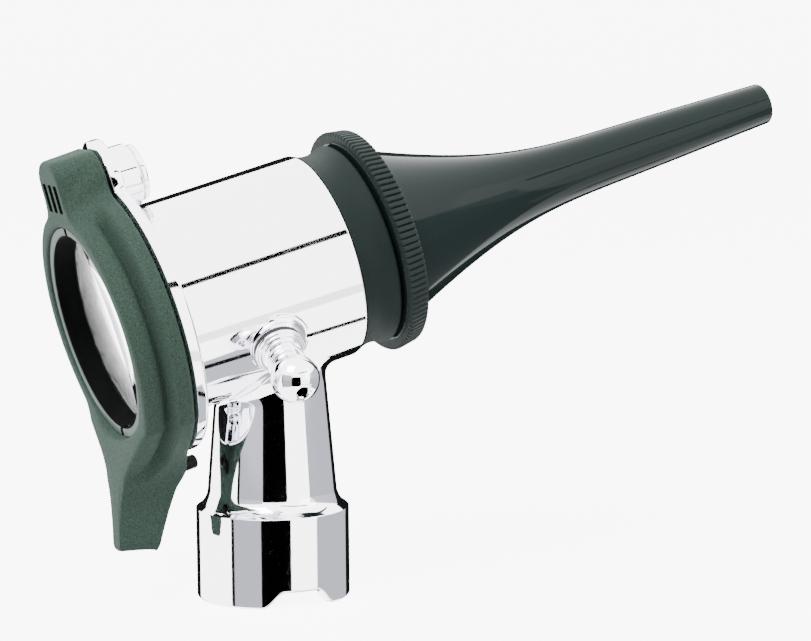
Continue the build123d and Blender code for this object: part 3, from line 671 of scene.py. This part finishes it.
def screw_head():
    """Low domed head of the pivot screw, and its shoulder behind, through the boss."""
    front = float(np.max((np.array([v.co for v in NODES["pivot_screw"].data.vertices]) / MM
                          - AXIS_CROSSING) @ BARREL_AXIS))
    seat = BOSS_FRONT + 0.25
    outline = rounded([(FRAME_FRONT - 2, 0, 0), (FRAME_FRONT - 2, SCREW_R, 0),
                       (seat, SCREW_R, 0), (seat, SCREW_HEAD_R, 0.06),
                       (front - 0.05, SCREW_HEAD_R, 0.4), (front, 1.0, 1.0), (front, 0, 0)])
    return lathe("screw_head", outline, PIVOT_LINE, 96)


# ---- Lens frame

def lug_field(side, above, half, top, corner):
    """Distance to a round-cornered upright slab, the pivot lug's plan."""
    middle = (top + LUG_FOOT) / 2
    reach_x = np.abs(side) - (half - corner)
    reach_y = np.abs(above - middle) - ((top - LUG_FOOT) / 2 - corner)
    outer = np.hypot(np.maximum(reach_x, 0), np.maximum(reach_y, 0))
    return outer + np.minimum(np.maximum(reach_x, reach_y), 0) - corner


def tab_field(side, above, root_half, end_half, end):
    """Distance to the tab's plan: a strip that narrows downwards with a round end."""
    t = np.clip((-above - TAB_START) / (end - TAB_START), 0, 1)
    half = end_half + (root_half - end_half) * (1 - t) ** 2.4
    reach_x = np.abs(side) - half
    reach_y = -above - end
    outer = np.hypot(np.maximum(reach_x + TAB_CORNER, 0),
                     np.maximum(reach_y + TAB_CORNER, 0)) - TAB_CORNER
    return np.maximum(outer, above + 6.0)


def plan_reach(turn, ring, lug, tab, lug_blend, tab_blend):
    """Distance from the barrel's axis to a plan made of a ring, a lug and a tab.

    It bisects along each direction on the smooth union of the three distance fields.
    """
    low = np.full_like(turn, ring - 1.5)
    high = np.full_like(turn, PLAN_REACH)
    for _ in range(34):
        middle = (low + high) / 2
        above = middle * np.cos(turn)
        side = middle * np.sin(turn)
        field = smooth_union(middle - ring, lug_field(side, above, *lug), lug_blend)
        field = smooth_union(field, tab_field(side, above, *tab), tab_blend)
        outside = field > 0
        high = np.where(outside, middle, high)
        low = np.where(outside, low, middle)
    return (low + high) / 2


def frame_turns():
    """Directions round the frame, closer together over the lug and over the narrow tab."""
    even = np.linspace(0, 2 * pi, 721)
    return even - 0.30 * np.sin(2 * even) + 0.06 * np.sin(4 * even)


def front_of(above):
    """Along-place of the frame's front face: flat, then leaning back down the tab."""
    drop = np.maximum(-above - FACE_BEND_START, 0)
    return FRAME_FRONT - 0.565 * drop * smooth_step(0, 3.0, drop)


def rear_of(above):
    """Along-place of the rear face: flat, then straight down in the world for the tab."""
    drop = np.maximum(-above - REAR_BEND_START, 0)
    return FRAME_REAR - np.tan(TILT) * drop * smooth_step(0, 2.5, drop)


def frame_body():
    """Moulded frame, as a grid of direction round the axis by place round the section.

    The section runs from the ledge out over the front face, back along the side wall, in over
    the rear face and down the bore. The side wall drops from the base tier to the rear tier
    through a groove, which slides to the rear face and dies out down the tab.
    """
    turn = frame_turns()
    base = plan_reach(turn, FRAME_BASE_R, LUG_BASE, TAB_BASE, 1.6, 2.6)
    rear = plan_reach(turn, FRAME_REAR_R - 0.15, LUG_REAR, TAB_REAR, 2.4, 3.6)
    lug = smooth_step(0.80, 0.93, np.cos(turn) - 0.10 * np.abs(np.sin(turn)))  # 1 over the lug
    tab = smooth_step(15.5, 22.0, -base * np.cos(turn))                        # 1 down the tab
    columns = []

    def add(radius, depth):
        """One line round the frame, depth 0 at the front face and 1 at the rear."""
        above = radius * np.cos(turn)
        along = front_of(above) * (1 - depth) + rear_of(above) * depth
        columns.append(on_barrel(along, above, radius * np.sin(turn)))

    whole = np.ones_like(turn)
    add(LEDGE_R * whole, 0.0)
    add(base - 1.2, 0.0)
    for t in np.linspace(0, pi / 2, 6):
        add(base - (0.45 - 0.2 * tab) * (1 - sin(t)), (0.08 - 0.05 * tab) * (1 - cos(t)))
    groove_at = 0.46 + 0.62 * tab
    for depth in np.linspace(0.1, 0.9, 34):
        step = smooth_step(groove_at - 0.13, groove_at + 0.06, depth)
        swell = np.exp(-((depth - groove_at) / 0.075) ** 2) * (1 - 0.85 * lug) * (1 - tab)
        bulge = 0.35 * np.sin(pi * np.clip((depth - 0.5) / 0.55, 0, 1)) * (1 - lug) * (1 - tab)
        stepped = base + (rear - base) * step - 0.75 * swell + bulge
        tapered = base + (rear - base) * (0.15 * depth + 0.85 * depth ** 1.5)
        wedge = base + (rear - base) * depth
        tier = (stepped * (1 - lug) + tapered * lug) * (1 - tab) + wedge * tab
        add(tier, depth)
    edge = tier
    for t in np.linspace(0, pi / 2, 8)[1:]:
        add(edge - (0.75 - 0.4 * tab) * (1 - cos(t)) - 0.05, 0.9 + 0.1 * sin(t))
    add((edge - 0.8) * 0.5 + (FRAME_BORE_R + 0.35) * 0.5, 1.0)
    add((FRAME_BORE_R + 0.3) * whole, 1.0)
    add((FRAME_BORE_R + 0.08) * whole, 0.985)
    add(FRAME_BORE_R * whole, 0.955)
    ledge_depth = (LEDGE_REAR - FRAME_FRONT) / (FRAME_REAR - FRAME_FRONT)
    add(FRAME_BORE_R * whole, ledge_depth)
    add(LEDGE_R * whole, ledge_depth)
    columns.append(columns[0])
    return skin("frame_body", np.stack(columns, 1), 50)


def retainer():
    """Threaded ring of black aluminium, with two spanner slots in its rear face."""
    turn = np.linspace(0, 2 * pi, 361)
    across = RETAINER_R_IN * np.sin(turn)
    slot = 1 - smooth_step(0.28, 0.42, np.abs(across))
    outer = FRAME_BORE_R - 0.06
    rear = RETAINER_REAR + 0.9 * slot
    rows = [(LENS_REAR, outer), (rear + 0.12, outer), (rear, outer - 0.1),
            (rear, RETAINER_R_IN + 0.12), (rear + 0.1, RETAINER_R_IN),
            (-21.2, RETAINER_R_IN), (LENS_REAR, RETAINER_R_IN), (LENS_REAR, outer)]
    return skin("retainer_ring", round_barrel(rows, turn), 30)


def lens_blank():
    """Biconvex lens: two ball caps on a flat-edged disc, turned about the barrel's axis."""
    land = 11.85
    edge = FRAME_BORE_R - 0.2

    def cap(start, crown, side, steps):
        """Ball cap that stands crown mm out of the land; steps -1 runs it back to the axis."""
        ball = (land ** 2 + crown ** 2) / (2 * crown)
        radius = land * np.sin(np.linspace(0, pi / 2, 28))[::steps]
        along = start + side * (crown - ball + np.sqrt(ball ** 2 - radius ** 2))
        return np.stack([along, radius], 1)

    front = cap(LENS_FRONT, 0.8, 1, 1)
    rear = cap(LENS_REAR, 1.3, -1, -1)
    rim = np.array([(LENS_FRONT, edge - 0.1), (LENS_FRONT - 0.1, edge), (LENS_REAR + 0.1, edge),
                    (LENS_REAR, edge - 0.1)])
    return lathe("lens_blank", np.concatenate([front, rim, rear]), BARREL_LINE, 160, 25)


def lug_marks():
    """Three plain upright bars flush in the lug's rear face, painted shade: a generic mark."""
    corners = [(-1, -1), (1, -1), (1, 1), (-1, 1)]
    outline = rounded([(BAR_HALF_WIDTH * x, BAR_HALF_HEIGHT * y, BAR_CORNER)
                       for x, y in corners], 5)
    shape = np.stack([np.zeros_like(outline), outline, outline, np.zeros_like(outline)], 1)
    along = np.broadcast_to([BAR_FLOOR, BAR_FLOOR, BAR_FACE, BAR_FACE], shape.shape[:2])
    bars = []
    for number in range(3):
        side = shape[..., 0] + BAR_PITCH * (number - 1)
        above = shape[..., 1] + BAR_ABOVE
        bars.append(skin(f"lug_bar_{number + 1}", on_barrel(along, above, side), 40))
    return bars


# ---- Speculum

def horn_profile(root_wall, tip_wall, steps=60):
    """Flare as a cubic curve of four handles, then a straight taper to the tip."""
    end = np.array([TAPER_START,
                    SPECULUM_TIP_R + TAPER * (SPECULUM_TIP - TAPER_START) - tip_wall])
    root = np.array([RIM_FRONT, HORN_ROOT_R - root_wall])
    one = root + 19.2 * np.array([1, -0.41])
    two = end - 14.3 * np.array([1, -TAPER])
    t = np.linspace(0, 1, steps)[:, None]
    back = 1 - t
    return back ** 3 * root + 3 * back ** 2 * t * one + 3 * back * t * t * two + t ** 3 * end


def speculum_horn():
    """Horn of the speculum: outside flare, round tip, lumen and the socket for the nose."""
    outside = horn_profile(0, 0)
    lumen = horn_profile(0.9, 0.58)[::-1]
    lumen = lumen[(lumen[:, 1] < SOCKET_BORE_R - 0.05) | (lumen[:, 0] > 20)]
    bend = np.linspace(0, pi / 2, 8)
    tip_r = SPECULUM_TIP_R
    lip = 0.29
    tip = [(SPECULUM_TIP - lip + lip * sin(t), tip_r - lip + lip * cos(t)) for t in bend]
    tip += [(SPECULUM_TIP - lip + lip * cos(t), tip_r - lip - lip * sin(t)) for t in bend[1:]]
    socket = [(16.1, SOCKET_BORE_R), (SPECULUM_REAR + 0.3, SOCKET_BORE_R),
              (SPECULUM_REAR, SOCKET_BORE_R + 0.25), (SPECULUM_REAR, DISC_R - 0.2),
              (SPECULUM_REAR + 0.2, DISC_R), (RIM_FRONT - 0.15, DISC_R),
              (RIM_FRONT, DISC_R - 0.2), (RIM_FRONT, 11.5), (RIM_FRONT + 0.1, 11.2)]
    outline = np.concatenate([outside[1:], np.array(tip), lumen, np.array(socket), outside[1:2]])
    return lathe("speculum_horn", outline, BARREL_LINE, 192, 28)


def speculum_rim():
    """Knurled rim: its radius dips between straight teeth with rounded crests."""
    per_tooth = 10
    depth = 0.36
    turn = np.linspace(0, 2 * pi, RIM_TEETH * per_tooth + 1)
    phase = (turn * RIM_TEETH / (2 * pi)) % 1.0
    crest = smooth_step(0.0, 0.22, phase) - smooth_step(0.74, 0.96, phase)
    bend = np.linspace(0, pi / 2, 5)
    rows = [(SPECULUM_REAR + 0.05, 12.4 + 0 * turn)]
    rows += [(SPECULUM_REAR + 0.05 + 0.22 * (1 - cos(t)),
              RIM_R - depth + depth * crest - 0.22 * (1 - sin(t))) for t in bend]
    rows += [(RIM_FRONT - 0.35 + 0.33 * sin(t),
              RIM_R - 0.30 - depth + depth * crest - 0.33 * (1 - cos(t))) for t in bend]
    rows += [(RIM_FRONT - 0.02, 12.4 + 0 * turn), rows[0]]
    return skin("speculum_rim", round_barrel(rows, turn), 45)


def nose_ring():
    """Waisted nose ring with rolled edges, its shank in the barrel and its spigot in front."""
    seat = BARREL_FRONT + 0.05
    waist = [(seat + 4.3 * t, NOSE_R - 2.2 * t * (1 - t)) for t in np.linspace(0, 1, 16)]
    outline = [(seat, NOSE_SHANK_R), (seat, NOSE_R - 0.18)] + waist
    outline += [(NOSE_FACE - 0.08, NOSE_R - 0.08), (NOSE_FACE, NOSE_R - 0.23),
                (NOSE_FACE, SPIGOT_R), (SPIGOT_FRONT - 0.3, SPIGOT_R),
                (SPIGOT_FRONT, SPIGOT_R - 0.3), (SPIGOT_FRONT, NOSE_BORE_R),
                (NOSE_FACE - 0.9, NOSE_BORE_R), (NOSE_FACE - 0.9, NOSE_SHANK_BORE_R),
                (NOSE_REAR, NOSE_SHANK_BORE_R), (NOSE_REAR, NOSE_SHANK_R), (seat, NOSE_SHANK_R)]
    return lathe("nose_ring", np.array(outline), BARREL_LINE, 192, 30)


def catch_button():
    """Spring catch's button: a short pin with a domed end, out of the frame's front."""
    outline = rounded([(CATCH_ROOT, 0, 0), (CATCH_ROOT, CATCH_R, 0),
                       (CATCH_FRONT - 0.2, CATCH_R, 0.35), (CATCH_FRONT, 0, 0)])
    line = (AXIS_CROSSING - CATCH_BELOW * BARREL_UP, BARREL_AXIS, BARREL_UP)
    return lathe("catch_button", outline, line, 48)


def face_rearwards(piece, material):
    """Give the faces of a piece that look back at the eye a second material: painted light."""
    facing = np.empty(3 * len(piece.data.polygons))
    piece.data.polygons.foreach_get("normal", facing)
    rearward = facing.reshape(-1, 3) @ -BARREL_AXIS > 0.7
    piece.data.materials.append(material)
    piece.data.polygons.foreach_set("material_index", rearward.astype(np.int32))


def make_pieces():
    """Build every replacing piece, hide the CAD node it stands for and let it ride its body."""
    chrome = [barrel_shell(), flange_plate(), pivot_boss(), neck_shell(), collar_shell(),
              port_seat()]
    for piece in chrome:
        finish(piece, "head", CHROME)
        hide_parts("head_body")
    nipple = finish(port_nipple(), "head", CHROME)
    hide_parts("port_nozzle")
    head = finish(screw_head(), "lens_carrier", CHROME)
    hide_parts("pivot_screw")
    moulded = finish(frame_body(), "lens_carrier", GREEN)
    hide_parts("lens_frame")
    # Painted shade: the bars are flat black where moulded marks would lie in shade.
    for bar in lug_marks():
        finish(bar, "lens_carrier", RECESS_SHADE)
    button = finish(catch_button(), "lens_carrier", DARK_STEEL)
    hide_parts("catch_pin")
    ring = finish(retainer(), "lens_carrier", ANODISED)
    # Painted light: the ring's faces turned back to the camera are drawn in a lighter grey-green
    # copy.
    face_rearwards(ring, RETAINER_PAINTED_LIGHT)
    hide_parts("lens_retainer")
    glass = finish(lens_blank(), "lens_carrier", GLASS)
    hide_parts("lens")
    horn = finish(speculum_horn(), "speculum", GLOSS)
    rim = finish(speculum_rim(), "speculum", KNURL)
    for piece in (horn, rim):
        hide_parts("speculum")
    nose = finish(nose_ring(), "head", NYLON)
    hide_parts("nose_adapter")


def paint_nodes():
    """Give the CAD nodes that stay in view their own finishes."""
    finishes = {
        BLACK: ("outer_cone", "viewing_cone"),
        BRASS: ("pivot_insert", "bundle_ferrule", "lamp_sleeve", "lamp_contact"),
        STEEL: ("lamp_base", "bayonet_ring", "pivot_washer"),
        RUBBER: ("flange_gasket", "lens_gasket", "speculum_seal", "port_gasket"),
        FIBRE: ("fiber_fan", "fiber_bundle"),
        BULB_GLASS: ("lamp_bulb",),
        CERAMIC: ("lamp_insulator", "lamp_cement"),
        TUNGSTEN: ("lamp_filament",),
    }
    for material, names in finishes.items():
        for name in names:
            slots = NODES[name].material_slots
            if not slots:
                NODES[name].data.materials.append(material)
            for slot in slots:
                slot.material = material


# ---- Studio

def card(name, half_x, half_y, world):
    """Flat rectangle with its corners placed by a matrix, in metres."""
    corners = [(-half_x, -half_y, 0), (half_x, -half_y, 0), (half_x, half_y, 0),
               (-half_x, half_y, 0)]
    mesh = bpy.data.meshes.new(name)
    mesh.from_pydata([world @ Vector(corner) for corner in corners], [], [(0, 1, 2, 3)])
    sheet = bpy.data.objects.new(name, mesh)
    bpy.context.scene.collection.objects.link(sheet)
    return sheet


def floor():
    """Plain white floor at the collar's mouth, lit from beneath; metal does not mirror it."""
    plane = card("floor", FLOOR_HALF, FLOOR_HALF, Matrix())
    paper = blank("floor_paper", "#F4F4F4", 0.9, Emission_Color=linear("#FFFFFF"),
                  Emission_Strength=FLOOR_GLOW)
    plane.data.materials.append(paper[0])
    plane.visible_glossy = False
    plane.visible_diffuse = False


def soft_light(name, place, size, power):
    """Large area light that looks at the tent's middle, in metres and watts."""
    light = bpy.data.lights.new(name, "AREA")
    light.shape = "RECTANGLE"
    light.size, light.size_y = size
    light.energy = power
    lamp = bpy.data.objects.new(name, light)
    bpy.context.scene.collection.objects.link(lamp)
    lamp.location = place
    lamp.rotation_euler = (Vector(TENT_MIDDLE) - lamp.location).to_track_quat("-Z", "Y").to_euler()


def direction(azimuth, elevation):
    """Unit vector for a direction in degrees: azimuth 0 is -Y and 90 is +X."""
    a, e = radians(azimuth), radians(elevation)
    return Vector((sin(a) * cos(e), -cos(a) * cos(e), sin(e)))


def flag(name, azimuth, elevation, width, height, code="#020202", roll=0, glow=0.0):
    """Flag of the light tent, so many degrees wide and high: only seen in reflections."""
    half_x = FLAG_DISTANCE * tan(radians(width / 2))
    half_y = FLAG_DISTANCE * tan(radians(height / 2))
    away = direction(azimuth, elevation)
    place = Vector(TENT_MIDDLE) + away * FLAG_DISTANCE
    facing = (-away).to_track_quat("-Z", "Y").to_matrix().to_4x4()
    world = Matrix.Translation(place) @ facing @ Matrix.Rotation(radians(roll), 4, "Z")
    felt = blank(name + "_felt", code, 1.0, Specular_IOR_Level=0.0, Emission_Strength=glow,
                 Emission_Color=linear("#FFFFFF"))
    sheet = card(name, half_x, half_y, world)
    sheet.data.materials.append(felt[0])
    sheet.visible_camera = False
    sheet.visible_diffuse = False
    sheet.visible_shadow = False
    sheet.visible_transmission = False


def tent_cloth():
    """World of the light tent.

    The cloth is as bright as a soft box where polished metal mirrors it and where it is seen
    behind the object, and it lights everything else gently.
    """
    world = bpy.data.worlds.new("tent")
    bpy.context.scene.world = world
    world.use_nodes = True
    tree = world.node_tree
    cloth = tree.nodes["Background"]
    cloth.inputs["Color"].default_value = linear("#FDFDFE")
    ray = node(tree, "ShaderNodeLightPath")
    mirrored = node(tree, "ShaderNodeMath", [(ray.outputs["Is Glossy Ray"], 0)],
                    operation="MULTIPLY_ADD")
    mirrored.inputs[1].default_value = TENT_MIRRORED - TENT_LIGHT
    mirrored.inputs[2].default_value = TENT_LIGHT
    seen = node(tree, "ShaderNodeMath", [(ray.outputs["Is Camera Ray"], 0),
                                         (mirrored.outputs[0], 2)], operation="MULTIPLY_ADD")
    seen.inputs[1].default_value = TENT_SEEN - TENT_LIGHT
    tree.links.new(seen.outputs[0], cloth.inputs["Strength"])


def studio():
    """White tent with a soft key from the upper left, a fill, and flags for the chrome.

    The flags give polished metal its bands: a black one where the operator stands, greys on
    both sides of it, and thin black battens that hold the cloth above and below.
    """
    tent_cloth()
    soft_light("key", (-0.45, -0.35, 0.75), (0.5, 0.5), KEY_WATTS)
    soft_light("fill", (0.6, -0.6, 0.35), (0.5, 0.6), FILL_WATTS)
    flag("flag_operator", -17, -8, 44, 44)
    flag("flag_left", -60, -5, 44, 52, "#DCDEE6")
    flag("flag_left_edge", -84, -5, 5, 56, "#101010")
    flag("flag_right", 84, -5, 72, 52, "#DADCE4")
    flag("flag_behind", 156, -7, 78, 66, "#161818")
    flag("batten_above", 20, 31.5, 46, 5, "#0A0B0A")
    flag("batten_below", 57, -50.5, 50, 3.4, "#0A0B0A", roll=8)
    flag("flag_middle", 34, -24, 60, 8, "#F2F0EC", glow=2.6)
    flag("flag_below", 95, -68, 66, 26, "#E4E6EC")


def camera():
    """Long lens from the rear left, a little above the barrel, rolled by half a degree."""
    azimuth, roll = radians(CAMERA_AZIMUTH), radians(CAMERA_ROLL)
    back = direction(CAMERA_AZIMUTH, CAMERA_ELEVATION)
    right = Vector((cos(azimuth), sin(azimuth), 0))
    up = back.cross(right)
    right_rolled = right * cos(roll) + up * sin(roll)
    up_rolled = up * cos(roll) - right * sin(roll)
    data = bpy.data.cameras.new("camera")
    data.sensor_width = 36.0
    data.lens = CAMERA_LENS
    eye = bpy.data.objects.new("camera", data)
    bpy.context.scene.collection.objects.link(eye)
    matrix = Matrix((right_rolled, up_rolled, back)).transposed().to_4x4()
    matrix.translation = Vector(CAMERA_PLACE) * MM
    eye.matrix_world = matrix
    bpy.context.scene.camera = eye


make_pieces()
paint_nodes()
floor()
studio()
camera()
